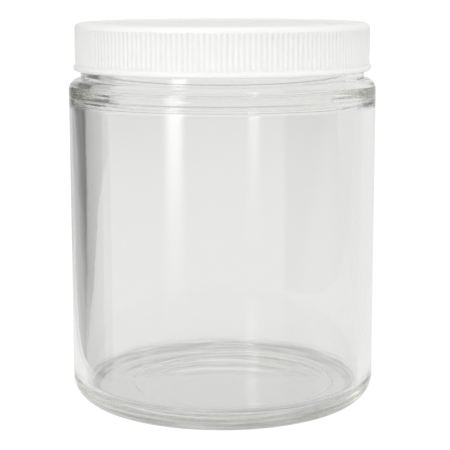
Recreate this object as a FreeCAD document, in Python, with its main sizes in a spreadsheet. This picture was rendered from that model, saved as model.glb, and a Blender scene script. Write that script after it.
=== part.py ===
"""A wide-mouth glass jar with a ribbed screw cap and a sealing liner.

The origin is the middle of the jar's foot and +Z points up. Lengths are in millimetres.
The jar and the cap share one right-handed single-start thread, so one pitch of rise goes with
each turn that opens the cap.
"""
import FreeCAD, Part
import Sketcher
import math
import os

doc = FreeCAD.newDocument("ScrewCapJar")


# Driving dimensions

SIZES = {
    # Glass body
    "jar_height": 90.2,
    "body_diameter": 75.0,
    "wall_thickness": 3.3,
    "heel_radius": 6.2,
    "foot_width": 1.6,
    "push_up_height": 1.2,
    "floor_height": 4.6,
    "floor_corner_radius": 2.2,
    "shoulder_ledge": 2.9,
    "shoulder_radius": 2.6,
    "inner_shoulder_drop": 6.0,
    "inner_shoulder_radius": 4.5,
    # Neck, measured from the lip down and from the shoulder's edge inwards
    "neck_height": 10.4,
    "neck_ring_step": 1.3,
    "neck_ring_height": 1.7,
    "neck_flare_height": 1.1,
    "neck_wall": 2.6,
    "lip_radius": 0.7,
    # Thread
    "thread_pitch": 4.2333,
    "neck_thread_depth": 1.15,
    "neck_thread_foot": 2.4,
    "neck_thread_crest": 0.9,
    "neck_thread_turns": 1.05,
    "neck_thread_below_lip": 2.2,
    "cap_thread_depth": 1.05,
    "cap_thread_foot": 1.6,
    "cap_thread_crest": 0.7,
    "cap_thread_turns": 1.1,
    "cap_thread_lag": 95.0,
    "flank_clearance": 0.3,
    "thread_fade_angle": 35.0,
    # Cap
    "skirt_clearance": 0.35,
    "skirt_wall": 0.8,
    "skirt_length": 9.4,
    "top_thickness": 1.5,
    "top_rim_lift": 0.5,
    "top_rim_width": 4.9,
    "top_edge_radius": 1.2,
    "bead_height": 2.3,
    "bead_projection": 0.45,
    "bead_edge_radius": 0.6,
    "rib_count": 176.0,
    "rib_depth": 0.3,
    "flute_width": 0.85,
    "flute_end_gap": 0.15,
    # Liner
    "liner_thickness": 1.0,
    "liner_clearance": 0.35,
}


def make_sheet(sizes):
    """Write each driving dimension into its own named cell."""
    sheet = doc.addObject("Spreadsheet::Sheet", "Sizes")
    for row, (name, value) in enumerate(sizes.items(), start=1):
        sheet.set(f"A{row}", name)
        sheet.set(f"B{row}", str(value))
        sheet.setAlias(f"B{row}", name)
    doc.recompute()
    return sheet


sheet = make_sheet(SIZES)


def size(text):
    """The value of an expression in the sheet's names."""
    return float(sheet.evalExpression(text))


# Places that both pieces use, as expressions in the sheet's names

BODY_RADIUS = "Sizes.body_diameter / 2"
INNER_RADIUS = "Sizes.body_diameter / 2 - Sizes.wall_thickness"
FOOT_INNER_RADIUS = "Sizes.body_diameter / 2 - Sizes.heel_radius - Sizes.foot_width"
NECK_RING_RADIUS = f"{BODY_RADIUS} - Sizes.shoulder_ledge"
NECK_RADIUS = f"{NECK_RING_RADIUS} - Sizes.neck_ring_step"
MOUTH_RADIUS = f"{NECK_RADIUS} - Sizes.neck_wall"
SHOULDER = "Sizes.jar_height - Sizes.neck_height"
RING_TOP = f"{SHOULDER} + Sizes.neck_ring_height"
LINER_TOP = "Sizes.jar_height + Sizes.liner_thickness"
SKIRT_BORE = f"{NECK_RADIUS} + Sizes.neck_thread_depth + Sizes.skirt_clearance"
SKIRT_FOOT = f"{LINER_TOP} - Sizes.skirt_length"
CAP_RADIUS = f"{SKIRT_BORE} + Sizes.skirt_wall + Sizes.rib_depth"
PANEL_TOP = f"{LINER_TOP} + Sizes.top_thickness"
CAP_TOP = f"{PANEL_TOP} + Sizes.top_rim_lift"
BEAD_TOP = f"{SKIRT_FOOT} + Sizes.bead_height"

# The shoulder's round, which its ledge limits to this share of the ledge's width
LEDGE_SHARE = 0.95
SHOULDER_ROUND = f"min(Sizes.shoulder_radius; {LEDGE_SHARE} * Sizes.shoulder_ledge)"

# The share of a thread's height at which its flanks meet its rounded crest
CREST_SHARE = 0.8

# The share of its height that a thread keeps at its two ends
FADED_SHARE = 0.1

# How far a thread's foot and its root lie inside the wall that carries it
BEAD_BURY = 0.1
BEAD_ROOT = 0.4

# Sections that shape one turn of a thread
STEPS_PER_TURN = 40


# Sketch and feature helpers

def origin_feature(body, role):
    """The body's own origin plane or axis with this role."""
    return next(f for f in body.Origin.OriginFeatures if f.Role == role)


def new_body(name):
    return doc.addObject("PartDesign::Body", name)


def new_sketch(body, name, role):
    """A sketch on one of the body's origin planes."""
    sketch = body.newObject("Sketcher::SketchObject", name)
    sketch.AttachmentSupport = [(origin_feature(body, role), "")]
    sketch.MapMode = "FlatFace"
    return sketch


def bind(sketch, constraint, text):
    """Add a length constraint and tie it to an expression."""
    index = sketch.addConstraint(constraint)
    sketch.setExpression(f"Constraints[{index}]", text)


def pin_point(sketch, line, end, across, up):
    """Tie one end of a line to a place across and up from the sketch's origin."""
    if across == "0":
        sketch.addConstraint(Sketcher.Constraint("PointOnObject", line, end, -2))
    else:
        bind(sketch, Sketcher.Constraint("DistanceX", -1, 1, line, end, size(across)), across)
    if up == "0":
        sketch.addConstraint(Sketcher.Constraint("PointOnObject", line, end, -1))
    else:
        bind(sketch, Sketcher.Constraint("DistanceY", -1, 1, line, end, size(up)), up)


def closed_outline(sketch, corners):
    """Join corners, each given across and up, by straight sides into a closed outline."""
    places = [FreeCAD.Vector(size(across), size(up), 0) for across, up in corners]
    count = len(places)
    for here, there in zip(places, places[1:] + places[:1]):
        sketch.addGeometry(Part.LineSegment(here, there), False)
    for line in range(count):
        sketch.addConstraint(Sketcher.Constraint("Coincident", line, 2, (line + 1) % count, 1))
    for line, (across, up) in enumerate(corners):
        pin_point(sketch, line, 1, across, up)


def turned(body, kind, name, corners):
    """Revolve an outline of corners about the body's vertical axis."""
    sketch = new_sketch(body, f"{name}_section", "XZ_Plane")
    closed_outline(sketch, corners)
    feature = body.newObject(kind, name)
    feature.Profile = sketch
    feature.ReferenceAxis = (origin_feature(body, "Z_Axis"), [""])
    feature.Angle = 360
    doc.recompute()
    return feature


def ring_edges(feature, radius, height):
    """Names of the round edges of a feature at this radius and height."""
    names = []
    for number, edge in enumerate(feature.Shape.Edges, start=1):
        curve = edge.Curve
        if not isinstance(curve, Part.Circle):
            continue
        if abs(curve.Radius - radius) < 0.01 and abs(curve.Center.z - height) < 0.01:
            names.append(f"Edge{number}")
    return names


def round_ring(body, base, name, radius_text, height_text, round_text):
    """Round the circular edge at a radius and height by the size that an expression gives."""
    names = ring_edges(base, size(radius_text), size(height_text))
    fillet = body.newObject("PartDesign::Fillet", name)
    fillet.Base = (base, names)
    fillet.setExpression("Radius", round_text)
    doc.recompute()
    return fillet


def bead_half_width(offset, depth, foot, crest):
    """Half the width of a thread bead at an offset from the wall that carries it."""
    flank = depth * CREST_SHARE
    if offset <= flank:
        return foot / 2 - (foot - crest) / 2 * offset / flank
    return crest / 2 * (depth - offset) / (depth - flank)


def bead_section(angle, height, wall_radius, outward, reach, foot, crest):
    """One section of a thread bead, standing in the plane through the axis at this angle.

    Outward is 1 for a bead that points away from the axis and -1 for one that points to it.
    The root lies a little inside the wall.
    """
    corners = [
        (-BEAD_ROOT, -foot / 2),
        (-BEAD_BURY, -foot / 2),
        (reach * CREST_SHARE, -crest / 2),
        (reach, 0),
        (reach * CREST_SHARE, crest / 2),
        (-BEAD_BURY, foot / 2),
        (-BEAD_ROOT, foot / 2),
    ]
    places = []
    for offset, rise in corners:
        radius = wall_radius + outward * offset
        across = radius * math.cos(angle)
        along = radius * math.sin(angle)
        places.append(FreeCAD.Vector(across, along, height + rise))
    return Part.makePolygon(places + places[:1])


def thread_bead(name, wall_radius, outward, depth, foot, crest, turns, start_height, start_angle):
    """A raised helical bead that dies away at both ends of its run."""
    pitch = size("Sizes.thread_pitch")
    fade = math.radians(size("Sizes.thread_fade_angle"))
    sweep = 2 * math.pi * turns
    steps = math.ceil(STEPS_PER_TURN * turns)
    sections = []
    for step in range(steps + 1):
        angle = sweep * step / steps
        left = min(1, min(angle, sweep - angle) / fade)
        share = (1 - math.cos(math.pi * left)) / 2
        reach = depth * (FADED_SHARE + (1 - FADED_SHARE) * share)
        height = start_height + pitch * angle / (2 * math.pi)
        sections.append(bead_section(
            start_angle + angle, height, wall_radius, outward, reach, foot, crest))
    bead = doc.addObject("Part::Feature", name)
    bead.Shape = Part.makeLoft(sections, True, True)
    return bead


def joined(name, label, base, tool):
    """Join a bead to the piece that carries it, as the finished piece."""
    whole = doc.addObject("Part::Fuse", name)
    whole.Base = base
    whole.Tool = tool
    whole.Refine = True
    whole.Label = label
    return whole


# Glass jar

def make_jar_body():
    """The jar's blown and pressed form, without its thread."""
    body = new_body("JarBody")
    blank = turned(body, "PartDesign::Revolution", "jar_blank", [
        ("0", "0"),
        (BODY_RADIUS, "0"),
        (BODY_RADIUS, SHOULDER),
        (NECK_RING_RADIUS, SHOULDER),
        (NECK_RING_RADIUS, RING_TOP),
        (NECK_RADIUS, f"{RING_TOP} + Sizes.neck_flare_height"),
        (NECK_RADIUS, "Sizes.jar_height"),
        ("0", "Sizes.jar_height"),
    ])
    heel = round_ring(body, blank, "heel", BODY_RADIUS, "0 mm", "Sizes.heel_radius")
    shoulder = round_ring(body, heel, "shoulder", BODY_RADIUS, SHOULDER, SHOULDER_ROUND)
    round_ring(body, shoulder, "outer_lip", NECK_RADIUS, "Sizes.jar_height",
               "Sizes.lip_radius")

    inner_shoulder_foot = f"{SHOULDER} - Sizes.inner_shoulder_drop"
    hollow = turned(body, "PartDesign::Groove", "hollow", [
        ("0", "Sizes.floor_height"),
        (INNER_RADIUS, "Sizes.floor_height"),
        (INNER_RADIUS, inner_shoulder_foot),
        (MOUTH_RADIUS, SHOULDER),
        (MOUTH_RADIUS, "Sizes.jar_height"),
        ("0", "Sizes.jar_height"),
    ])
    floor = round_ring(body, hollow, "floor_corner", INNER_RADIUS, "Sizes.floor_height",
                       "Sizes.floor_corner_radius")
    lower = round_ring(body, floor, "inner_shoulder_foot", INNER_RADIUS, inner_shoulder_foot,
                       "Sizes.inner_shoulder_radius")
    upper = round_ring(body, lower, "inner_shoulder_top", MOUTH_RADIUS, SHOULDER,
                       "Sizes.inner_shoulder_radius")
    round_ring(body, upper, "inner_lip", MOUTH_RADIUS, "Sizes.jar_height", "Sizes.lip_radius")
    make_push_up(body)
    return body


def make_push_up(body):
    """The shallow dome under the base, which leaves a ring of glass to stand on."""
    reach = size(FOOT_INNER_RADIUS)
    rise = size("Sizes.push_up_height")
    bend = (reach ** 2 + rise ** 2) / (2 * rise)
    sketch = new_sketch(body, "push_up_section", "XZ_Plane")
    middle = FreeCAD.Vector(0, rise - bend, 0)
    dome = Part.Circle(middle, FreeCAD.Vector(0, 0, 1), bend)
    start = math.atan2(bend - rise, reach)
    sketch.addGeometry(Part.ArcOfCircle(dome, start, math.pi / 2), False)
    sketch.addGeometry(Part.LineSegment(FreeCAD.Vector(0, rise, 0), FreeCAD.Vector(0, 0, 0)))
    sketch.addGeometry(Part.LineSegment(FreeCAD.Vector(0, 0, 0), FreeCAD.Vector(reach, 0, 0)))
    sketch.addConstraint(Sketcher.Constraint("Coincident", 0, 2, 1, 1))
    sketch.addConstraint(Sketcher.Constraint("Coincident", 1, 2, 2, 1))
    sketch.addConstraint(Sketcher.Constraint("Coincident", 2, 2, 0, 1))
    sketch.addConstraint(Sketcher.Constraint("Coincident", 1, 2, -1, 1))
    sketch.addConstraint(Sketcher.Constraint("PointOnObject", 0, 3, -2))
    sketch.addConstraint(Sketcher.Constraint("PointOnObject", 0, 2, -2))
    sketch.addConstraint(Sketcher.Constraint("PointOnObject", 2, 2, -1))
    bind(sketch, Sketcher.Constraint("DistanceX", -1, 1, 2, 2, reach), FOOT_INNER_RADIUS)
    bind(sketch, Sketcher.Constraint("DistanceY", -1, 1, 0, 2, rise), "Sizes.push_up_height")
    push_up = body.newObject("PartDesign::Groove", "push_up")
    push_up.Profile = sketch
    push_up.ReferenceAxis = (origin_feature(body, "Z_Axis"), [""])
    push_up.Angle = 360
    doc.recompute()


def neck_thread_start():
    """The height of the lower end of the neck's thread."""
    return size("Sizes.jar_height - Sizes.neck_thread_below_lip"
                " - Sizes.neck_thread_turns * Sizes.thread_pitch")


def make_neck_thread():
    """The raised thread on the neck."""
    return thread_bead(
        "NeckThread",
        wall_radius=size(NECK_RADIUS),
        outward=1,
        depth=size("Sizes.neck_thread_depth"),
        foot=size("Sizes.neck_thread_foot"),
        crest=size("Sizes.neck_thread_crest"),
        turns=size("Sizes.neck_thread_turns"),
        start_height=neck_thread_start(),
        start_angle=0,
    )


# Screw cap

def make_cap_body():
    """The moulded cap with its raised top rim, plain bead and fluted skirt."""
    body = new_body("CapBody")
    bead_radius = f"{CAP_RADIUS} + Sizes.bead_projection"
    blank = turned(body, "PartDesign::Revolution", "cap_blank", [
        ("0", SKIRT_FOOT),
        (bead_radius, SKIRT_FOOT),
        (bead_radius, f"{BEAD_TOP} - Sizes.bead_projection"),
        (CAP_RADIUS, BEAD_TOP),
        (CAP_RADIUS, CAP_TOP),
        ("0", CAP_TOP),
    ])
    top_edge = round_ring(body, blank, "top_edge", CAP_RADIUS, CAP_TOP,
                          "Sizes.top_edge_radius")
    round_ring(body, top_edge, "bead_edge", bead_radius, SKIRT_FOOT, "Sizes.bead_edge_radius")
    panel_radius = f"{CAP_RADIUS} - Sizes.top_edge_radius - Sizes.top_rim_width"
    turned(body, "PartDesign::Groove", "top_recess", [
        ("0", PANEL_TOP),
        (f"{panel_radius} - Sizes.top_rim_lift", PANEL_TOP),
        (panel_radius, CAP_TOP),
        ("0", CAP_TOP),
    ])
    turned(body, "PartDesign::Groove", "cap_hollow", [
        ("0", SKIRT_FOOT),
        (SKIRT_BORE, SKIRT_FOOT),
        (SKIRT_BORE, LINER_TOP),
        ("0", LINER_TOP),
    ])
    make_flutes(body)
    return body


def make_flutes(body):
    """Upright flutes round the skirt, which leave the ribs between them."""
    sketch = new_sketch(body, "flute_section", "XY_Plane")
    half_width = "Sizes.flute_width / 2"
    closed_outline(sketch, [
        (f"{CAP_RADIUS} - Sizes.rib_depth", "0"),
        (f"{CAP_RADIUS} + Sizes.rib_depth", f"-2 * {half_width}"),
        (f"{CAP_RADIUS} + Sizes.rib_depth", f"2 * {half_width}"),
    ])
    flute_foot = f"{BEAD_TOP} + Sizes.flute_end_gap"
    flute_top = f"{CAP_TOP} - Sizes.top_edge_radius - Sizes.flute_end_gap"
    sketch.setExpression("AttachmentOffset.Base.z", flute_foot)
    flute = body.newObject("PartDesign::Pocket", "flute")
    flute.Profile = sketch
    flute.Type = "Length"
    flute.Reversed = True
    flute.setExpression("Length", f"({flute_top}) - ({flute_foot})")
    doc.recompute()
    flutes = body.newObject("PartDesign::PolarPattern", "flutes")
    flutes.Originals = [flute]
    flutes.Axis = (origin_feature(body, "Z_Axis"), [""])
    flutes.Angle = 360
    flutes.setExpression("Occurrences", "Sizes.rib_count")
    body.Tip = flutes
    doc.recompute()


def thread_drop():
    """How far the cap's thread lies under the neck's, flank over flank with the clearance."""
    neck_depth = size("Sizes.neck_thread_depth")
    cap_depth = size("Sizes.cap_thread_depth")
    gap = neck_depth + size("Sizes.skirt_clearance")
    widths = []
    for offset in (neck_depth * CREST_SHARE, gap - cap_depth * CREST_SHARE):
        neck_half = bead_half_width(offset, neck_depth, size("Sizes.neck_thread_foot"),
                                    size("Sizes.neck_thread_crest"))
        cap_half = bead_half_width(gap - offset, cap_depth, size("Sizes.cap_thread_foot"),
                                   size("Sizes.cap_thread_crest"))
        widths.append(neck_half + cap_half)
    return max(widths) + size("Sizes.flank_clearance")


def make_cap_thread():
    """The thread inside the skirt, which hooks under the neck's thread."""
    lag = size("Sizes.cap_thread_lag")
    lag_rise = size("Sizes.thread_pitch") * lag / 360
    return thread_bead(
        "CapThread",
        wall_radius=size(SKIRT_BORE),
        outward=-1,
        depth=size("Sizes.cap_thread_depth"),
        foot=size("Sizes.cap_thread_foot"),
        crest=size("Sizes.cap_thread_crest"),
        turns=size("Sizes.cap_thread_turns"),
        start_height=neck_thread_start() - thread_drop() + lag_rise,
        start_angle=math.radians(lag),
    )


# Liner

def make_liner():
    """The sealing disc, which lies flat between the lip and the cap's top."""
    liner = doc.addObject("Part::Cylinder", "CapLiner")
    liner.Label = "cap_liner"
    liner.setExpression("Radius", f"{SKIRT_BORE} - Sizes.liner_clearance")
    liner.setExpression("Height", "Sizes.liner_thickness")
    liner.setExpression("Placement.Base.z", "Sizes.jar_height")
    return liner


jar = joined("GlassJar", "glass_jar", make_jar_body(), make_neck_thread())
cap = joined("ScrewCap", "screw_cap", make_cap_body(), make_cap_thread())
liner = make_liner()
pieces = [jar, cap, liner]
doc.recompute()

for item in doc.Objects:
    if {"Invalid", "Error"} & set(item.State):
        raise RuntimeError(f"{item.Label} failed: {item.State}")
for piece in pieces:
    if piece.Shape.isNull() or not piece.Shape.isValid():
        raise RuntimeError(f"{piece.Label} has no valid shape")

os.makedirs("parts", exist_ok=True)
for piece in pieces:
    piece.Shape.exportStep(f"parts/{piece.Label}.step")
    print(piece.Label, round(piece.Shape.Volume, 1), piece.Shape.BoundBox)
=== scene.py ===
"""A wide-mouth glass jar with a fluted white screw cap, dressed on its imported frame.

The jar, the cap and the liner are turned surfaces, worked out with numpy from a rounded outline,
with their threads, flutes and mould lines as displacements of it. Outlines are in millimetres
and meshes in metres.
"""

import logging
import math
from dataclasses import dataclass, field, replace
from enum import Enum, auto

import bpy
import numpy as np
from mathutils import Matrix, Vector


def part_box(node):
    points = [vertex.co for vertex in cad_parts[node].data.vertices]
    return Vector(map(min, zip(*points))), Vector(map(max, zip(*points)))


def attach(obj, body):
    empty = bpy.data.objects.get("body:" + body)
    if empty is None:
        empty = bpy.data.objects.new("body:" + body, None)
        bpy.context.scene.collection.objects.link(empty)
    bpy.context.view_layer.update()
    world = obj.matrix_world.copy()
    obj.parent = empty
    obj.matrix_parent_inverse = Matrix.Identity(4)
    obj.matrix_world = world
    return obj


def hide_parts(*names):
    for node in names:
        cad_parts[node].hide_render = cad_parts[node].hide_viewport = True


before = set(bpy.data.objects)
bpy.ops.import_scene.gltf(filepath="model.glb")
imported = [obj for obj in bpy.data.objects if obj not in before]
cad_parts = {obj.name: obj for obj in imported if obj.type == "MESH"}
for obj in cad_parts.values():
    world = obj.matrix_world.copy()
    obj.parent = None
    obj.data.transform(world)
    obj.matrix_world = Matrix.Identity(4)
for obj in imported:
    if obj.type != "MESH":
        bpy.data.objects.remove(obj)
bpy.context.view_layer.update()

LOG = logging.getLogger("jar")
MM = 0.001


def box_of(node: str) -> tuple[float, float, float]:
    """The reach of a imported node, in millimetres.

    Args:
        node: the node's name.

    Returns:
        Its greatest distance from the axis along X, its foot's height and its top's height.
    """
    low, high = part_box(node)
    return high.x / MM, low.z / MM, high.z / MM


# Outlines and turned surfaces

class Zone(Enum):
    """The stretch of an outline that a row of points lies on."""

    UNDER = auto()
    OUTSIDE = auto()
    THREADED = auto()
    FLUTED = auto()
    TOP = auto()
    INSIDE = auto()


@dataclass(frozen=True)
class Corner:
    """A corner of a turned outline, and the straight run that leads to it.

    Attributes:
        across: its distance from the axis, in millimetres.
        up: its height, in millimetres.
        fillet: the radius of the arc that rounds it, in millimetres.
        zone: the stretch that the run and the arc belong to.
        run_rows: how many steps the straight run is given.
        arc_rows: how many steps the arc is given.
    """

    across: float
    up: float
    fillet: float = 0.0
    zone: Zone = Zone.OUTSIDE
    run_rows: int = 1
    arc_rows: int = 4

    @property
    def place(self) -> np.ndarray:
        """The corner as a point."""
        return np.array([self.across, self.up])


@dataclass(frozen=True)
class Rows:
    """The rows of points of a sampled outline, between its two poles."""

    across: np.ndarray
    up: np.ndarray
    zones: np.ndarray
    start_height: float
    end_height: float

    def within(self, *zones: Zone) -> np.ndarray:
        """A column mask of the rows that lie on these zones.

        Args:
            zones: the zones that count.

        Returns:
            A boolean array with one row per outline point.
        """
        return np.isin(self.zones, [zone.value for zone in zones])[:, None]

    def grid(self, columns: int) -> tuple[np.ndarray, np.ndarray, np.ndarray]:
        """Spin the rows round the axis.

        Args:
            columns: how many points each row gets.

        Returns:
            The angle of each column, in radians, and the radius and height of each point.
        """
        angle = np.linspace(0, 2 * math.pi, columns, endpoint=False)[None, :]
        radius = np.repeat(self.across[:, None], columns, axis=1)
        height = np.repeat(self.up[:, None], columns, axis=1)
        return angle, radius, height


class Outline:
    """A half section of a turned piece, from one pole on the axis to the other."""

    def __init__(self, corners: list[Corner]) -> None:
        """Keep the corners.

        Args:
            corners: the outline in order, whose first and last corners lie on the axis.
        """
        self.corners = corners

    def arc(self, number: int) -> np.ndarray:
        """The points of the arc that rounds one corner.

        The arc touches both sides at radius / tan(half the corner's angle) from the corner, and
        runs by spherical interpolation between the two spokes that end there.

        Args:
            number: the corner's place in the outline.

        Returns:
            The arc's points, or the corner alone where it is sharp.
        """
        corner = self.corners[number]
        if corner.fillet == 0:
            return corner.place[None, :]
        before = self.corners[number - 1].place - corner.place
        after = self.corners[number + 1].place - corner.place
        before /= np.linalg.norm(before)
        after /= np.linalg.norm(after)
        opening = math.acos(float(np.clip(before @ after, -1, 1)))
        reach = corner.fillet / math.tan(opening / 2)
        middle = (before + after) / np.linalg.norm(before + after)
        centre = corner.place + middle * corner.fillet / math.sin(opening / 2)
        first = corner.place + before * reach - centre
        last = corner.place + after * reach - centre
        sweep = math.pi - opening
        share = np.linspace(0, 1, corner.arc_rows + 1)[:, None]
        turned = np.sin((1 - share) * sweep) * first + np.sin(share * sweep) * last
        return centre + turned / math.sin(sweep)

    def rows(self) -> Rows:
        """Sample the outline.

        Returns:
            Its rows, without the two poles.
        """
        points, zones = [], []
        end = self.corners[0].place
        for number, corner in enumerate(self.corners[1:], start=1):
            last = number == len(self.corners) - 1
            arc = corner.place[None, :] if last else self.arc(number)
            share = np.linspace(0, 1, corner.run_rows + 1)[1:-1, None]
            run = end + (arc[0] - end) * share
            fresh = run if last else np.vstack([run, arc])
            points.append(fresh)
            zones.append(np.full(len(fresh), corner.zone.value))
            end = arc[-1]
        whole = np.vstack(points)
        return Rows(whole[:, 0], whole[:, 1], np.concatenate(zones),
                    self.corners[0].up, self.corners[-1].up)


def turned_mesh(name: str, radius: np.ndarray, angle: np.ndarray, height: np.ndarray,
                poles: tuple[float, float]) -> bpy.types.Mesh:
    """A closed surface from a grid in cylinder coordinates, with a point on the axis at each end.

    Each point is (radius cos angle, radius sin angle, height). Rows run along the outline and
    columns round the axis, and the surface faces to the right of the outline's direction.

    Args:
        name: the mesh's name.
        radius: rows by columns, in millimetres.
        angle: one angle per column, in radians.
        height: rows by columns, in millimetres.
        poles: the heights of the first and the last pole, in millimetres.

    Returns:
        The mesh, in metres, with smooth faces.
    """
    rows, columns = radius.shape
    grid = np.stack([radius * np.cos(angle), radius * np.sin(angle), height], axis=2)
    ends = np.array([[0, 0, poles[0]], [0, 0, poles[1]]])
    points = np.vstack([grid.reshape(-1, 3), ends]) * MM
    index = np.arange(rows * columns).reshape(rows, columns)
    beside = np.roll(index, -1, axis=1)
    quads = np.stack([index[:-1], beside[:-1], beside[1:], index[1:]], axis=2).reshape(-1, 4)
    first, last = np.full(columns, rows * columns), np.full(columns, rows * columns + 1)
    fans = np.vstack([np.stack([first, beside[0], index[0]], axis=1),
                      np.stack([index[-1], beside[-1], last], axis=1)])
    corners = np.concatenate([quads.ravel(), fans.ravel()])
    sides = np.concatenate([np.full(len(quads), 4), np.full(len(fans), 3)])
    mesh = bpy.data.meshes.new(name)
    mesh.vertices.add(len(points))
    mesh.vertices.foreach_set("co", points.astype(np.float32).ravel())
    mesh.loops.add(len(corners))
    mesh.loops.foreach_set("vertex_index", corners.astype(np.int32))
    mesh.polygons.add(len(sides))
    starts = np.concatenate([[0], np.cumsum(sides)[:-1]])
    mesh.polygons.foreach_set("loop_start", starts.astype(np.int32))
    mesh.update(calc_edges=True)
    mesh.shade_smooth()
    return mesh


@dataclass(frozen=True)
class Thread:
    """A raised single-start thread that dies away at both ends.

    Lengths are in millimetres and angles in degrees, anticlockwise from +X seen from above.
    """

    depth: float
    foot: float
    crest: float
    turns: float
    start_height: float
    start_angle: float = 0.0
    pitch: float = 4.2333
    fade_angle: float = 35.0
    crest_share: float = 0.8

    def rise(self, angle: np.ndarray, height: np.ndarray) -> np.ndarray:
        """How far the thread stands out from its wall.

        Its middle climbs one pitch a turn. Its section is two flanks and a low roof, and its
        reach grows and falls over the fade angle at its ends as half a cosine wave.

        Args:
            angle: the angles of the columns, in radians.
            height: the heights of the points, in millimetres.

        Returns:
            The rise at each point, in millimetres.
        """
        full = 2 * math.pi
        sweep = full * self.turns
        fade = math.radians(self.fade_angle)
        lag = np.mod(angle - math.radians(self.start_angle), full)
        rise = np.zeros(np.broadcast(angle, height).shape)
        for turn in range(math.ceil(self.turns)):
            along = lag + full * turn
            middle = self.start_height + self.pitch * along / full
            left = np.clip(np.minimum(along, sweep - along) / fade, 0, 1)
            reach = self.depth * (1 - np.cos(math.pi * left)) / 2
            share = np.interp(np.abs(height - middle), [0, self.crest / 2, self.foot / 2],
                              [1, self.crest_share, 0])
            rise = np.maximum(rise, reach * share)
        return rise


# Materials

class Number:
    """One number socket of a node tree, with which sums can be written."""

    def __init__(self, kit: "NodeKit", socket: bpy.types.NodeSocket) -> None:
        """Wrap an output socket.

        Args:
            kit: the node kit whose tree holds the socket.
            socket: the output that carries the number.
        """
        self.kit = kit
        self.socket = socket

    def maths(self, operation: str, first: object, second: object) -> "Number":
        """Add a Math node on two values.

        Args:
            operation: the Math node's operation.
            first: a number or a wrapped socket.
            second: a number or a wrapped socket.

        Returns:
            Its result.
        """
        node = self.kit.add("ShaderNodeMath", {"operation": operation}, {0: first, 1: second})
        return Number(self.kit, node.outputs[0])

    def __add__(self, other: object) -> "Number":
        """The sum with another value."""
        return self.maths("ADD", self, other)

    def __radd__(self, other: object) -> "Number":
        """The sum with a number on the left."""
        return self.maths("ADD", other, self)

    def __sub__(self, other: object) -> "Number":
        """The difference from another value."""
        return self.maths("SUBTRACT", self, other)

    def __rsub__(self, other: object) -> "Number":
        """The difference of a number on the left."""
        return self.maths("SUBTRACT", other, self)

    def __mul__(self, other: object) -> "Number":
        """The product with another value."""
        return self.maths("MULTIPLY", self, other)

    def __rmul__(self, other: object) -> "Number":
        """The product with a number on the left."""
        return self.maths("MULTIPLY", other, self)

    def at_most(self, other: object) -> "Number":
        """The smaller of two values."""
        return self.maths("MINIMUM", self, other)

    def at_least(self, other: object) -> "Number":
        """The greater of two values."""
        return self.maths("MAXIMUM", self, other)


class NodeKit:
    """The node tree of one material or world, and the one way in which it gets nodes."""

    def __init__(self, tree: bpy.types.NodeTree) -> None:
        """Empty the tree.

        Args:
            tree: the node tree to fill.
        """
        self.tree = tree
        tree.nodes.clear()

    def add(self, kind: str, settings: dict | None = None,
            inputs: dict | None = None) -> bpy.types.Node:
        """Add a node.

        Args:
            kind: the node's type.
            settings: what is set on the node first.
            inputs: a value, a socket or a wrapped socket for each named or numbered input.

        Returns:
            The node.
        """
        node = self.tree.nodes.new(kind)
        for name, value in (settings or {}).items():
            setattr(node, name, value)
        for name, value in (inputs or {}).items():
            source = value.socket if isinstance(value, Number) else value
            if isinstance(source, bpy.types.NodeSocket):
                self.tree.links.new(source, node.inputs[name])
            else:
                node.inputs[name].default_value = source
        return node

    def number(self, node: bpy.types.Node, output: str | int) -> Number:
        """Wrap one of a node's outputs."""
        return Number(self, node.outputs[output])

    def place(self) -> bpy.types.NodeSocket:
        """The place on the piece, in metres."""
        return self.add("ShaderNodeTexCoord").outputs["Object"]

    def axes(self) -> tuple[Number, Number, Number]:
        """The place on the piece as three numbers, in metres."""
        node = self.add("ShaderNodeSeparateXYZ", inputs={"Vector": self.place()})
        return self.number(node, "X"), self.number(node, "Y"), self.number(node, "Z")

    def section(self) -> tuple[Number, Number]:
        """The squared distance to the upright axis and the height, in millimetres."""
        across, along, up = (number * (1 / MM) for number in self.axes())
        return across * across + along * along, up

    def noise(self, grains_per_metre: float, detail: float = 2.0, spread: float = 1.0) -> Number:
        """Soft noise over the piece.

        Args:
            grains_per_metre: how fine it is.
            detail: how many finer layers it has.
            spread: what level distances are multiplied by, so that less than 1 gives streaks.

        Returns:
            The noise, from 0 to 1.
        """
        place = self.place()
        if spread != 1:
            place = self.add("ShaderNodeMapping", {"vector_type": "POINT"}, {
                "Vector": place, "Scale": (spread, spread, 1)}).outputs[0]
        node = self.add("ShaderNodeTexNoise", inputs={
            "Vector": place, "Scale": grains_per_metre, "Detail": detail})
        return self.number(node, "Fac")

    def seen(self) -> tuple[Number, Number]:
        """Two numbers that tell how a ray sees what it meets.

        Returns:
            1 for a ray straight from the camera, and 1 for one off a gloss or through glass.
        """
        path = self.add("ShaderNodeLightPath")
        glossy = self.number(path, "Is Glossy Ray")
        through = self.number(path, "Is Transmission Ray")
        return self.number(path, "Is Camera Ray"), glossy.at_least(through)


def new_material(name: str) -> tuple[bpy.types.Material, NodeKit]:
    """An empty node material.

    Args:
        name: its name.
    """
    material = bpy.data.materials.new(name)
    material.use_nodes = True
    return material, NodeKit(material.node_tree)


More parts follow.
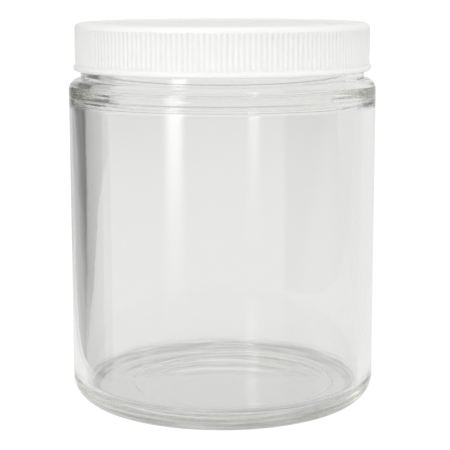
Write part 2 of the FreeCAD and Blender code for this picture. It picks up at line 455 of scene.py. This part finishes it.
@dataclass(frozen=True)
class ClearGlass:
    """Clear soda-lime glass, faintly green where it is thick, with a fire-polished skin, and
    painted shade dimming its heel and foot.

    Lengths of the heel are in millimetres.
    """

    tint: tuple[float, float, float] = (0.97, 0.97, 0.968)
    ior: float = 1.5
    body_colour: tuple[float, float, float] = (0.60, 0.60, 0.50)
    body_density: float = 3.0
    heel_painted_shade: float = 0.42
    heel_inner_radius: float = 31.0
    heel_top: float = 5.6
    heel_soft: float = 3.2
    streak_grains: float = 1300.0
    streak_detail: float = 1.0
    streak_spread: float = 0.06
    streak_contrast: float = 2.5
    streak_gap: float = 0.5
    streak_least: float = 0.1
    peel_grains: float = 140.0
    peel_height: float = 0.00004
    peel_strength: float = 0.5

    def heel(self, kit: NodeKit) -> Number:
        """The mask of the heel's painted shade: up to 1 on the heel and the foot, in level
        streaks, and 0 on the rest of the jar.

        The photo's heel is darker than clear glass in this room, so its skin is dimmed to match:
        painted shade, standing in for the shaded table seen through the heel.

        Args:
            kit: the material's node kit.

        Returns:
            The painted shade's mask, from the distance to the axis and the height.
        """
        reach, up = kit.section()
        outside = reach - self.heel_inner_radius ** 2
        below = (self.heel_top - up) * (1 / self.heel_soft)
        noise = kit.noise(self.streak_grains, self.streak_detail, self.streak_spread)
        streak = self.streak_contrast * noise - self.streak_gap
        streak = streak.at_least(self.streak_least).at_most(1)
        return streak * outside.at_least(0).at_most(1) * below.at_least(0).at_most(1)

    def material(self) -> bpy.types.Material:
        """The glass as a material with an absorbing body and painted shade on its heel."""
        material, kit = new_material("clear_glass")
        # Painted shade: the heel and the foot are darkened in streaks, standing in for the shaded
        # table seen through them.
        heel_shaded_tint = tuple(self.heel_painted_shade * part for part in self.tint)
        tint = kit.add("ShaderNodeMix", {"data_type": "RGBA"}, {
            "Factor": self.heel(kit), "A": (*self.tint, 1), "B": (*heel_shaded_tint, 1)})
        peel = kit.noise(self.peel_grains)
        bump = kit.add("ShaderNodeBump", inputs={
            "Strength": self.peel_strength, "Distance": self.peel_height, "Height": peel})
        skin = kit.add("ShaderNodeBsdfPrincipled", inputs={
            "Base Color": tint.outputs["Result"], "Roughness": 0.0, "IOR": self.ior,
            "Transmission Weight": 1.0, "Normal": bump.outputs["Normal"]})
        body = kit.add("ShaderNodeVolumeAbsorption", inputs={
            "Color": (*self.body_colour, 1), "Density": self.body_density})
        kit.add("ShaderNodeOutputMaterial", inputs={
            "Surface": skin.outputs[0], "Volume": body.outputs[0]})
        return material


@dataclass(frozen=True)
class WhitePlastic:
    """Satin white moulded plastic with a fine grain, and a painted glow inside its hollow. Its
    hollow is in millimetres.
    """

    colour: tuple[float, float, float] = (0.81, 0.81, 0.79)
    roughness: float = 0.38
    grain: float = 2500.0
    grain_height: float = 0.000008
    grain_strength: float = 0.4
    cloud: float = 60.0
    cloud_shade: float = 0.97
    cloud_roughness: float = 0.12
    ior: float = 1.49
    scatter: float = 0.004
    painted_inside_glow: float = 0.20
    hollow_radius: float = 35.2
    hollow_top: float = 92.0
    hollow_soft: float = 0.2

    def hollow(self, kit: NodeKit) -> Number:
        """1 inside the cap, where the painted glow is, and 0 on its outside.

        Args:
            kit: the material's node kit.

        Returns:
            The mask, from the distance to the axis and the height.
        """
        reach, up = kit.section()
        within = self.hollow_radius ** 2 - reach
        below = (self.hollow_top - up) * (1 / self.hollow_soft)
        return within.at_least(0).at_most(1) * below.at_least(0).at_most(1)

    def material(self) -> bpy.types.Material:
        """The plastic as a material, with painted light glowing inside the cap as a stand-in for
        light through its thin wall.
        """
        material, kit = new_material("white_plastic")
        # Painted light: the cap's inside glows a little, standing in for light that comes through
        # its thin wall.
        painted_glow_colour = kit.add("ShaderNodeMix", {"data_type": "RGBA"}, {
            "Factor": self.hollow(kit), "A": (0, 0, 0, 1), "B": (1, 1, 1, 1)})
        cloud = kit.noise(self.cloud)
        grain = kit.noise(self.grain)
        bump = kit.add("ShaderNodeBump", inputs={
            "Strength": self.grain_strength, "Distance": self.grain_height, "Height": grain})
        darker = tuple(self.cloud_shade * part for part in self.colour)
        colour = kit.add("ShaderNodeMix", {"data_type": "RGBA"}, {
            "Factor": cloud, "A": (*darker, 1), "B": (*self.colour, 1)})
        skin = kit.add("ShaderNodeBsdfPrincipled", inputs={
            "Base Color": colour.outputs["Result"],
            "Roughness": self.roughness + self.cloud_roughness * (cloud - 0.5),
            "IOR": self.ior, "Subsurface Weight": 1.0, "Subsurface Radius": (1, 1, 1),
            "Subsurface Scale": self.scatter, "Normal": bump.outputs["Normal"],
            "Emission Color": painted_glow_colour.outputs["Result"], "Emission Strength": self.painted_inside_glow})
        kit.add("ShaderNodeOutputMaterial", inputs={"Surface": skin.outputs[0]})
        return material


@dataclass(frozen=True)
class LinerFoam:
    """Matt white foamed plastic with fine cells."""

    colour: tuple[float, float, float] = (0.85, 0.85, 0.83)
    cells: float = 1800.0
    cell_depth: float = 0.00005
    cell_strength: float = 0.5
    roughness: float = 0.75
    cell_roughness: float = 0.1
    ior: float = 1.45
    scatter: float = 0.004

    def material(self) -> bpy.types.Material:
        """The foam as a material."""
        material, kit = new_material("liner_foam")
        cells = kit.add("ShaderNodeTexVoronoi", inputs={
            "Vector": kit.place(), "Scale": self.cells})
        depth = kit.number(cells, "Distance")
        bump = kit.add("ShaderNodeBump", inputs={
            "Strength": self.cell_strength, "Distance": self.cell_depth, "Height": depth})
        skin = kit.add("ShaderNodeBsdfPrincipled", inputs={
            "Base Color": (*self.colour, 1),
            "Roughness": self.roughness + self.cell_roughness * depth,
            "IOR": self.ior, "Subsurface Weight": 1.0, "Subsurface Radius": (1, 1, 1),
            "Subsurface Scale": self.scatter, "Normal": bump.outputs["Normal"]})
        kit.add("ShaderNodeOutputMaterial", inputs={"Surface": skin.outputs[0]})
        return material


def add_piece(name: str, mesh: bpy.types.Mesh, finish: ClearGlass | WhitePlastic | LinerFoam,
              node: str, body: str) -> bpy.types.Object:
    """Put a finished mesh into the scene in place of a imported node.

    Args:
        name: the piece's name.
        mesh: its mesh.
        finish: what it is made of.
        node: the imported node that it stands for.
        body: the body that it rides on.

    Returns:
        The piece.
    """
    mesh.materials.append(finish.material())
    piece = bpy.data.objects.new(name, mesh)
    bpy.context.scene.collection.objects.link(piece)
    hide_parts(node)
    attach(piece, body)
    return piece


# The glass jar

@dataclass(frozen=True)
class GlassJar:
    """The moulded jar. Lengths are in millimetres.

    Each of the inner wall's waves is given as its height, how many go round the jar, how far it
    leans over the lean height, in radians, and where it starts, in radians.
    """

    node: str = "glass_jar"
    wall: float = 3.3
    heel_radius: float = 6.2
    foot_width: float = 1.6
    push_up: float = 1.2
    floor_height: float = 4.6
    floor_radius: float = 2.2
    shoulder_ledge: float = 2.9
    shoulder_radius: float = 2.6
    inner_shoulder_drop: float = 6.0
    inner_shoulder_radius: float = 4.5
    neck_height: float = 10.4
    ring_step: float = 1.3
    ring_height: float = 1.7
    flare_height: float = 1.1
    neck_wall: float = 2.6
    lip_radius: float = 0.7
    sharp_round: float = 0.25
    thread_form: Thread = Thread(depth=1.15, foot=2.4, crest=0.9, turns=1.05, start_height=0)
    thread_below_lip: float = 2.2
    mould_line_height: float = 75.5
    mould_line_depth: float = 0.09
    mould_line_width: float = 0.15
    mould_line_margin: float = 3.0
    base_mark_radius: float = 25.0
    base_mark_shift: float = 2.5
    base_mark_depth: float = 0.10
    base_mark_width: float = 0.30
    base_mark_margin: float = 2.0
    waves: tuple[tuple[float, int, float, float], ...] = (
        (0.030, 5, 2.0, 0.4), (0.018, 11, -1.5, 1.9), (0.008, 23, 3.0, 4.1))
    lean_height: float = 70.0
    columns: int = 304
    finish: ClearGlass = field(default_factory=ClearGlass)

    @property
    def body_radius(self) -> float:
        """The outside radius of the body, from the frame."""
        return box_of(self.node)[0]

    @property
    def lip(self) -> float:
        """The height of the lip, from the frame."""
        return box_of(self.node)[2]

    @property
    def foot_inner_radius(self) -> float:
        """Where the ring of glass that the jar stands on begins."""
        return self.body_radius - self.heel_radius - self.foot_width

    @property
    def neck_radius(self) -> float:
        """The radius of the neck that carries the thread."""
        return self.body_radius - self.shoulder_ledge - self.ring_step

    def thread(self) -> Thread:
        """The neck's thread, whose upper end lies a set distance below the lip."""
        climb = self.thread_form.turns * self.thread_form.pitch
        return replace(self.thread_form, start_height=self.lip - self.thread_below_lip - climb)

    def outline(self) -> Outline:
        """The half section, from the middle of the base round to the middle of the floor."""
        body, neck = self.body_radius, self.neck_radius
        ring, mouth = neck + self.ring_step, neck - self.neck_wall
        inside = body - self.wall
        shoulder = self.lip - self.neck_height
        ring_top = shoulder + self.ring_height
        mark_reach = self.base_mark_shift + self.base_mark_margin * self.base_mark_width
        mark_in = self.base_mark_radius - mark_reach
        mark_out = self.base_mark_radius + mark_reach
        line_reach = self.mould_line_margin * self.mould_line_width
        line_low = self.mould_line_height - line_reach
        line_high = self.mould_line_height + line_reach
        return Outline([
            Corner(0, 0),
            Corner(mark_in, 0, zone=Zone.UNDER, run_rows=12),
            Corner(mark_out, 0, zone=Zone.UNDER, run_rows=40),
            Corner(self.foot_inner_radius, 0, zone=Zone.UNDER, run_rows=2),
            Corner(body, 0, self.heel_radius, arc_rows=14),
            Corner(body, line_low, run_rows=14),
            Corner(body, line_high, run_rows=14),
            Corner(body, shoulder, self.shoulder_radius, arc_rows=10),
            Corner(ring, shoulder, self.sharp_round, arc_rows=3),
            Corner(ring, ring_top, self.sharp_round, arc_rows=3),
            Corner(neck, ring_top + self.flare_height, self.sharp_round, Zone.THREADED,
                   arc_rows=2),
            Corner(neck, self.lip, self.lip_radius, Zone.THREADED, run_rows=34, arc_rows=6),
            Corner(mouth, self.lip, self.lip_radius, Zone.TOP, run_rows=2, arc_rows=6),
            Corner(mouth, shoulder, self.inner_shoulder_radius, Zone.INSIDE, 4, 6),
            Corner(inside, shoulder - self.inner_shoulder_drop, self.inner_shoulder_radius,
                   Zone.INSIDE, 2, 6),
            Corner(inside, self.floor_height, self.floor_radius, Zone.INSIDE, 60, 12),
            Corner(0, self.floor_height, zone=Zone.INSIDE, run_rows=14),
        ])

    def dome(self, radius: np.ndarray) -> np.ndarray:
        """The rise of the push-up under the base, which runs out smoothly into the foot.

        Its height falls with the share u of its reach as (1 - u^2)^1.5.

        Args:
            radius: distances from the axis, in millimetres.

        Returns:
            The dome's height over its rim, and 0 outside it.
        """
        reach = self.foot_inner_radius + self.foot_width / 2
        return self.push_up * np.clip(1 - (radius / reach) ** 2, 0, 1) ** 1.5

    def base_mark(self, radius: np.ndarray, angle: np.ndarray) -> np.ndarray:
        """The ring that the base mould leaves, a round groove off the axis.

        Args:
            radius: distances from the axis, in millimetres.
            angle: angles of the columns, in radians.

        Returns:
            The groove's depth, a bell curve of the distance from the ring.
        """
        from_middle = np.hypot(radius * np.cos(angle) - self.base_mark_shift,
                               radius * np.sin(angle))
        off = (from_middle - self.base_mark_radius) / self.base_mark_width
        return self.base_mark_depth * np.exp(-off ** 2)

    def inner_waves(self, angle: np.ndarray, height: np.ndarray) -> np.ndarray:
        """The unevenness of the blown inner wall, a sum of slow waves that run mostly upright.

        Args:
            angle: angles of the columns, in radians.
            height: heights, in millimetres.

        Returns:
            The wall's shift towards the axis, in millimetres.
        """
        share = height / self.lean_height
        waves = sum(rise * np.cos(count * angle + lean * share + start)
                    for rise, count, lean, start in self.waves)
        share = np.clip((height - self.floor_height) / (self.lip - self.floor_height), 0, 1)
        return waves * np.sin(math.pi * share) ** 0.5

    def build(self) -> bpy.types.Object:
        """The jar as a piece of the scene.

        Returns:
            The glass piece.
        """
        rows = self.outline().rows()
        angle, radius, height = rows.grid(self.columns)
        under = self.dome(radius) + self.base_mark(radius, angle)
        line = (height - self.mould_line_height) / self.mould_line_width
        groove = self.mould_line_depth * np.exp(-line ** 2)
        thread = self.thread().rise(angle, height)
        threaded = np.where(thread > 0, np.maximum(radius, self.neck_radius + thread), radius)
        radius = np.where(rows.within(Zone.THREADED), threaded, radius)
        radius = radius - np.where(rows.within(Zone.OUTSIDE), groove, 0)
        radius = radius - np.where(rows.within(Zone.INSIDE) & (height > self.floor_height),
                                   self.inner_waves(angle, height), 0)
        height = height + np.where(rows.within(Zone.UNDER), under, 0)
        mesh = turned_mesh("jar_glass", radius, angle, height,
                           (rows.start_height + self.push_up, rows.end_height))
        piece = add_piece("jar_glass", mesh, self.finish, self.node, "jar")
        piece.visible_diffuse = False
        return piece


# The screw cap

@dataclass(frozen=True)
class ScrewCap:
    """The moulded cap with its flutes and inner thread. Lengths are in millimetres.

    Its thread starts 95 degrees after the neck's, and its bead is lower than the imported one's.
    """

    node: str = "screw_cap"
    bead_projection: float = 0.45
    bead_height: float = 1.5
    bead_round: float = 0.6
    skirt_wall: float = 0.8
    rib_depth: float = 0.3
    flute_width: float = 0.85
    flute_gap: float = 0.05
    flute_run_out: float = 0.3
    ribs: int = 176
    columns_per_rib: int = 5
    top_thickness: float = 1.5
    rim_lift: float = 0.5
    rim_width: float = 4.9
    edge_round: float = 1.2
    small_round: float = 0.2
    thread_form: Thread = Thread(depth=1.05, foot=1.6, crest=0.7, turns=1.1, start_height=0,
                                 start_angle=95.0)
    thread_above_foot: float = 1.56
    finish: WhitePlastic = field(default_factory=WhitePlastic)

    @property
    def radius(self) -> float:
        """The radius over the ribs, from the frame."""
        return box_of(self.node)[0] - self.bead_projection

    @property
    def bore(self) -> float:
        """The radius of the bore."""
        return self.radius - self.rib_depth - self.skirt_wall

    @property
    def foot(self) -> float:
        """The height of the skirt's foot, from the frame."""
        return box_of(self.node)[1]

    @property
    def top(self) -> float:
        """The height of the raised rim, from the frame."""
        return box_of(self.node)[2]

    @property
    def flute_span(self) -> tuple[float, float]:
        """The heights between which the flutes are cut."""
        return (self.foot + self.bead_height + self.flute_gap,
                self.top - self.edge_round - self.flute_gap)

    def thread(self) -> Thread:
        """The thread inside the skirt, which starts a set distance above its foot."""
        return replace(self.thread_form, start_height=self.foot + self.thread_above_foot)

    def outline(self) -> Outline:
        """The half section, from the middle of the underside round to the middle of the top."""
        panel = self.top - self.rim_lift
        underside = panel - self.top_thickness
        bead = self.radius + self.bead_projection
        bead_top = self.foot + self.bead_height
        low, high = self.flute_span
        inner = self.radius - self.edge_round - self.rim_width
        return Outline([
            Corner(0, underside),
            Corner(self.bore, underside, self.small_round, Zone.UNDER, 3, 2),
            Corner(self.bore, self.foot, self.small_round, Zone.THREADED, 32, 2),
            Corner(bead, self.foot, self.bead_round, arc_rows=4),
            Corner(bead, bead_top - self.bead_projection, self.small_round, arc_rows=2),
            Corner(self.radius, bead_top, self.small_round / 2, arc_rows=2),
            Corner(self.radius, low, zone=Zone.FLUTED),
            Corner(self.radius, low + self.flute_run_out, zone=Zone.FLUTED, run_rows=5),
            Corner(self.radius, high - self.flute_run_out, zone=Zone.FLUTED, run_rows=5),
            Corner(self.radius, high, zone=Zone.FLUTED, run_rows=5),
            Corner(self.radius, self.top, self.edge_round, Zone.TOP, arc_rows=7),
            Corner(inner, self.top, self.small_round, Zone.TOP, 3, 2),
            Corner(inner - self.rim_lift, panel, self.small_round, Zone.TOP, 1, 2),
            Corner(0, panel, zone=Zone.TOP, run_rows=6),
        ])

    def flutes(self, angle: np.ndarray, height: np.ndarray) -> np.ndarray:
        """The depth of the flutes, a V across and a ramp at both ends.

        Args:
            angle: angles of the columns, in radians.
            height: heights, in millimetres.

        Returns:
            The depth, in millimetres.
        """
        pitch = 2 * math.pi / self.ribs
        off = np.abs(np.mod(angle + pitch / 2, pitch) - pitch / 2) * self.radius
        across = np.clip(1 - off / (self.flute_width / 2), 0, 1)
        low, high = self.flute_span
        along = np.clip(np.minimum(height - low, high - height) / self.flute_run_out, 0, 1)
        return self.rib_depth * across * along

    def build(self) -> bpy.types.Object:
        """The cap as a piece of the scene."""
        rows = self.outline().rows()
        angle, radius, height = rows.grid(self.ribs * self.columns_per_rib)
        thread = self.thread().rise(angle, height)
        radius = radius - np.where(rows.within(Zone.THREADED), thread, 0)
        radius = radius - np.where(rows.within(Zone.FLUTED), self.flutes(angle, height), 0)
        mesh = turned_mesh("cap_shell", radius, angle, height,
                           (rows.start_height, rows.end_height))
        return add_piece("cap_shell", mesh, self.finish, self.node, "cap")


# The liner

@dataclass(frozen=True)
class CapLiner:
    """The sealing disc, with the ring that the lip presses into it. Lengths in millimetres."""

    node: str = "cap_liner"
    edge_round: float = 0.2
    press_middle: float = 32.0
    press_half_width: float = 1.5
    press_depth: float = 0.06
    columns: int = 160
    finish: LinerFoam = field(default_factory=LinerFoam)

    def build(self) -> bpy.types.Object:
        """The liner as a piece of the scene."""
        reach, foot, top = box_of(self.node)
        press_in = self.press_middle - self.press_half_width
        press_out = self.press_middle + self.press_half_width
        rows = Outline([
            Corner(0, foot),
            Corner(press_in, foot, zone=Zone.UNDER, run_rows=6),
            Corner(press_out, foot, zone=Zone.UNDER, run_rows=16),
            Corner(reach, foot, self.edge_round, arc_rows=3),
            Corner(reach, top, self.edge_round, arc_rows=3),
            Corner(0, top, zone=Zone.TOP, run_rows=8),
        ]).rows()
        angle, radius, height = rows.grid(self.columns)
        off = np.clip(np.abs(radius - self.press_middle) / self.press_half_width, 0, 1)
        press = self.press_depth * (1 - off ** 4)
        height = height + np.where(rows.within(Zone.UNDER), press, 0)
        mesh = turned_mesh("sealing_disc", radius, angle, height,
                           (rows.start_height, rows.end_height))
        return add_piece("sealing_disc", mesh, self.finish, self.node, "liner")


# The studio

@dataclass(frozen=True)
class Softbox:
    """A rectangular lamp. Lengths are in metres.

    Attributes:
        name: its name.
        place: where its middle is.
        aim: the point that it faces.
        width: its size across.
        tall: its other size.
        radiance: how bright its face is, where 1 renders as white.
    """

    name: str
    place: tuple[float, float, float]
    aim: tuple[float, float, float]
    width: float
    tall: float
    radiance: float

    def build(self) -> bpy.types.Object:
        """The lamp, which the camera doesn't see."""
        light = bpy.data.lights.new(self.name, "AREA")
        light.shape = "RECTANGLE"
        light.size, light.size_y = self.width, self.tall
        light.energy = self.radiance * math.pi * self.width * self.tall
        lamp = bpy.data.objects.new(self.name, light)
        bpy.context.scene.collection.objects.link(lamp)
        facing = (Vector(self.aim) - Vector(self.place)).to_track_quat("-Z", "Y")
        lamp.matrix_world = Matrix.Translation(self.place) @ facing.to_matrix().to_4x4()
        lamp.visible_camera = False
        lamp.visible_glossy = False
        lamp.visible_transmission = False
        return lamp


@dataclass(frozen=True)
class GlowCard:
    """An upright glowing card with soft edges. Lengths are in metres.

    Attributes:
        name: its name.
        middle: where the middle of its foot stands on the table.
        facing: the bearing of its face, in degrees anticlockwise from +X.
        width: its size across.
        low: the height of its foot, where it is plain white.
        high: the height of its top.
        fade: the height over which its glow grows, slowly at first.
        soft: the share of its half width that is soft at each side.
        radiance: how bright it is, where 1 renders as white.
    """

    name: str
    middle: tuple[float, float]
    facing: float
    width: float
    low: float
    high: float
    fade: float
    soft: float
    radiance: float

    def build(self) -> bpy.types.Object:
        """The card, which the camera doesn't see."""
        bearing = math.radians(self.facing)
        along = (-math.sin(bearing), math.cos(bearing), 0.0)
        half = self.width / 2
        x, y = self.middle
        ends = [(x + side * half * along[0], y + side * half * along[1]) for side in (-1, 1)]
        card = flat_stage(self.name, [(*ends[0], self.low), (*ends[1], self.low),
                                      (*ends[1], self.high), (*ends[0], self.high)])
        material, kit = new_material(self.name)
        place = kit.place()
        climb = (kit.axes()[2] - self.low) * (1 / self.fade)
        reach = kit.add("ShaderNodeVectorMath", {"operation": "DOT_PRODUCT"}, {
            0: place, 1: along})
        offset = kit.number(reach, "Value") - (x * along[0] + y * along[1])
        distance = offset.at_least(-1 * offset) * (1 / half)
        side = (1 - distance) * (1 / self.soft)
        climbed = climb.at_least(0).at_most(1)
        share = climbed * climbed * side.at_least(0).at_most(1)
        strength = 1 + (self.radiance - 1) * share
        glow = kit.add("ShaderNodeEmission", inputs={"Color": (1, 1, 1, 1), "Strength": strength})
        kit.add("ShaderNodeOutputMaterial", inputs={"Surface": glow.outputs[0]})
        card.data.materials.append(material)
        card.visible_camera = False
        card.visible_diffuse = False
        card.visible_shadow = False
        return card


def flat_stage(name: str, corners: list[tuple[float, float, float]]) -> bpy.types.Object:
    """A flat piece that isn't part of the object.

    Args:
        name: its name.
        corners: its four corners in order, in metres.

    Returns:
        The piece.
    """
    mesh = bpy.data.meshes.new(name)
    mesh.from_pydata(corners, [], [(0, 1, 2, 3)])
    piece = bpy.data.objects.new(name, mesh)
    bpy.context.scene.collection.objects.link(piece)
    return piece


@dataclass(frozen=True)
class Studio:
    """A white table without an edge, the room, a lamp, cards and the camera, in metres.

    Greys and glows are as a share of white. The cards' edge lies at card_edge + card_slant times
    the height, and card_soft wide. In glass and gloss the table dims with the distance behind
    the jar, as a painted fall-off of light, and is dimmer under it, as a painted shadow.
    """

    floor_reach: float = 14.0
    floor_diffuse: float = 0.72
    floor_glow: float = 0.36
    floor_glow_in_glass: float = 0.17
    painted_glow_falloff: float = 0.14
    falloff_from: float = 0.1
    falloff_to: float = 0.7
    painted_shadow_reach: float = 0.031
    painted_shadow_soft: float = 0.006
    sky: float = 0.92
    sky_in_glass: float = 0.84
    card_near: float = -0.02
    card_far: float = 0.65
    card_foot: float = 0.001
    card_height: float = 0.20
    card_dark: float = 0.20
    card_grey: float = 0.52
    card_edge: float = -0.0074
    card_slant: float = 0.907
    card_soft: float = 0.026
    card_gap: float = 0.006
    lens: float = 117.46
    sensor: float = 36.0
    camera_place: tuple[float, float, float] = (0.0006146, -0.361263, 0.1040085)
    camera_pitch: float = 0.1672
    camera_roll: float = -0.0012
    camera_reach: float = 60.0
    light_bounces: int = 96
    lamps: tuple[Softbox, ...] = (
        Softbox("front_fill", (-0.10, -1.2, 0.34), (0, 0, 0.07), 3.2, 0.7, 1.32),
    )
    glows: tuple[GlowCard, ...] = (
        GlowCard("window_glow", (-0.070, -0.117), 57.0, 0.036, 0.0, 0.16, 0.07, 0.7, 5.0),
    )

    def build_floor(self) -> None:
        """The table, which glows for rays that are seen and is pale grey for the rest, with a
        painted shadow under the jar and a painted fall-off of light behind it in glass and gloss.
        """
        reach = self.floor_reach
        floor = flat_stage("floor", [(-reach, -reach, 0), (reach, -reach, 0),
                                     (reach, reach, 0), (-reach, reach, 0)])
        material, kit = new_material("white_table")
        grey = kit.add("ShaderNodeBsdfDiffuse", inputs={
            "Color": (self.floor_diffuse, self.floor_diffuse, self.floor_diffuse, 1)})
        straight, through_glass = kit.seen()
        # Painted fall-off of light: in glass and gloss, the table's glow dims with the distance
        # behind the jar.
        behind = kit.axes()[1].at_least(self.falloff_from).at_most(self.falloff_to)
        away = behind - self.falloff_from
        across = kit.add("ShaderNodeVectorMath", {"operation": "LENGTH"}, {0: kit.place()})
        # Painted shadow: in glass and gloss, the table's glow fades out under the jar.
        beside = (kit.number(across, "Value") - self.painted_shadow_reach) * (1 / self.painted_shadow_soft)
        in_glass = ((self.floor_glow_in_glass - self.painted_glow_falloff * away)
                    * beside.at_least(0).at_most(1))
        glow = kit.add("ShaderNodeEmission", inputs={
            "Color": (1, 1, 1, 1),
            "Strength": self.floor_glow * straight + in_glass * through_glass})
        both = kit.add("ShaderNodeAddShader", inputs={
            0: grey.outputs[0], 1: glow.outputs[0]})
        kit.add("ShaderNodeOutputMaterial", inputs={"Surface": both.outputs[0]})
        floor.data.materials.append(material)

    def build_card(self, name: str, side: int, near_grey: float, far_grey: float) -> None:
        """A grey card beside the jar, along the edge of what the camera sees.

        It has one grey up to a soft edge that leans back, and beyond it another that grows to
        the room's own.

        Args:
            name: its name.
            side: -1 for the left and 1 for the right.
            near_grey: its grey up to the edge, where 1 is white.
            far_grey: its grey past the edge.
        """
        away = -self.camera_place[1]
        slope = self.sensor / 2 / self.lens
        near, far = self.card_near, self.card_far
        near_x = side * (slope * (away + near) + self.card_gap)
        far_x = side * (slope * (away + far) + self.card_gap)
        card = flat_stage(name, [
            (near_x, near, self.card_foot), (far_x, far, self.card_foot),
            (far_x, far, self.card_height), (near_x, near, self.card_height)])
        material, kit = new_material(name)
        _, depth, height = kit.axes()
        beyond = depth - (self.card_edge + self.card_slant * height)
        paling = far_grey + (self.sky_in_glass - far_grey) / far * depth
        past = (beyond * (1 / self.card_soft) + 0.5).at_least(0).at_most(1)
        grey = kit.add("ShaderNodeEmission", inputs={
            "Color": (1, 1, 1, 1), "Strength": near_grey + (paling - near_grey) * past})
        kit.add("ShaderNodeOutputMaterial", inputs={"Surface": grey.outputs[0]})
        card.data.materials.append(material)
        card.visible_camera = False
        card.visible_diffuse = False
        card.visible_shadow = False

    def build_world(self) -> None:
        """The room's light, which is white where it is seen."""
        world = bpy.data.worlds.new("room")
        world.use_nodes = True
        kit = NodeKit(world.node_tree)
        straight, through_glass = kit.seen()
        strength = (self.sky + (1 - self.sky) * straight
                    + (self.sky_in_glass - self.sky) * through_glass)
        room = kit.add("ShaderNodeBackground", inputs={
            "Color": (1, 1, 1, 1), "Strength": strength})
        kit.add("ShaderNodeOutputWorld", inputs={"Surface": room.outputs[0]})
        bpy.context.scene.world = world

    def build_camera(self) -> None:
        """The camera, level with the cap and tilted down a little."""
        data = bpy.data.cameras.new("camera")
        data.lens, data.sensor_width = self.lens, self.sensor
        data.clip_end = self.camera_reach
        camera = bpy.data.objects.new("camera", data)
        bpy.context.scene.collection.objects.link(camera)
        tilt = Matrix.Rotation(math.pi / 2 - self.camera_pitch, 4, "X")
        roll = Matrix.Rotation(self.camera_roll, 4, "Z")
        camera.matrix_world = Matrix.Translation(self.camera_place) @ tilt @ roll
        bpy.context.scene.camera = camera

    def build(self) -> None:
        """Set up everything round the jar."""
        self.build_floor()
        self.build_card("left_card", -1, self.card_dark, self.card_grey)
        self.build_card("right_card", 1, self.sky_in_glass, self.sky_in_glass)
        self.build_world()
        for lamp in self.lamps + self.glows:
            lamp.build()
        self.build_camera()
        scene = bpy.context.scene
        scene.cycles.max_bounces = self.light_bounces
        scene.cycles.glossy_bounces = self.light_bounces
        scene.cycles.transmission_bounces = self.light_bounces
        scene.view_settings.view_transform = "Standard"


def main() -> None:
    """Build the pieces and the studio in order, and report each piece."""
    logging.basicConfig(level=logging.INFO)
    Studio().build()
    for part in (GlassJar(), ScrewCap(), CapLiner()):
        piece = part.build()
        LOG.info("%s: %d faces", piece.name, len(piece.data.polygons))


if __name__ == "__main__":
    main()
